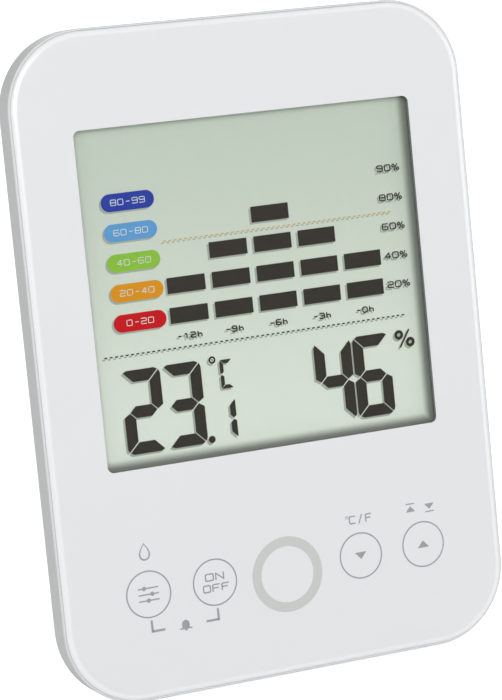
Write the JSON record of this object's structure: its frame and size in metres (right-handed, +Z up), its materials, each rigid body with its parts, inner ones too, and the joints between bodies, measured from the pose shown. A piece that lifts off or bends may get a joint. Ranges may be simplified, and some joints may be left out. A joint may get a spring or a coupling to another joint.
{
  "type": "digital thermo-hygrometer",
  "caption": "Slim tabletop temperature and humidity display with touch keys, a light ring, a battery bay, a hanging keyhole and a fold-out stand.",
  "frame": {"origin": "centre of the bounding box in plan, on the surface that it stands on, leaning on its open stand", "axes": "+Z up, the display faces -Y and leans back 13 degrees, +X to the right as seen from the front"},
  "size_m": [0.09, 0.0438, 0.1217],
  "materials": {
    "panel_gloss": "gloss",
    "case_plastic": "satin moulded",
    "ring_grey": "translucent satin",
    "clear_pane": "clear",
    "tape": "adhesive foam",
    "inner_plastic": "moulded",
    "film": "polarising film",
    "lcd_glass": "clear",
    "reflector": "brushed film",
    "connector_rubber": "layered",
    "board_green": "solder mask",
    "chip_black": "moulded",
    "ceramic": "ceramic",
    "steel": "plated",
    "cell_wrap": "printed sleeve"
  },
  "bodies": {
    "case": {"front_panel": "panel_gloss", "light_ring": "ring_grey", "display_window": "clear_pane", "panel_tape": "tape", "case_frame": "case_plastic", "rear_cover": "case_plastic", "lcd_holder": "inner_plastic", "lcd_front_polarizer": "film", "lcd_front_glass": "lcd_glass", "lcd_rear_glass": "lcd_glass", "lcd_reflector": "reflector", "zebra_strip": "connector_rubber", "circuit_board": "board_green", "main_chip": "chip_black", "quartz_crystal": "steel", "capacitors": "ceramic", "humidity_sensor": "inner_plastic", "thermistor": "chip_black", "piezo_buzzer": "chip_black", "status_leds": "ceramic", "light_guide": "ring_grey", "touch_springs": "steel", "battery_springs": "steel", "battery_plates": "steel", "battery_cell_1": "cell_wrap", "battery_cell_2": "cell_wrap", "case_screws": "steel", "board_screws": "steel"},
    "stand_leg": {"stand": "case_plastic"},
    "bay_door": {"battery_door": "case_plastic"}
  },
  "joints": [
    {"name": "stand_fold", "type": "hinge", "parent": "case", "child": "stand_leg", "pos_m": [0, 0.00559, 0.04724], "axis": [1, 0, 0], "range_deg": [-28, 0]},
    {"name": "door_tilt", "type": "hinge", "parent": "case", "child": "bay_door", "pos_m": [0, 0.00878, 0.05215], "axis": [-1, 0, 0], "range_deg": [0, 60]}
  ]
}
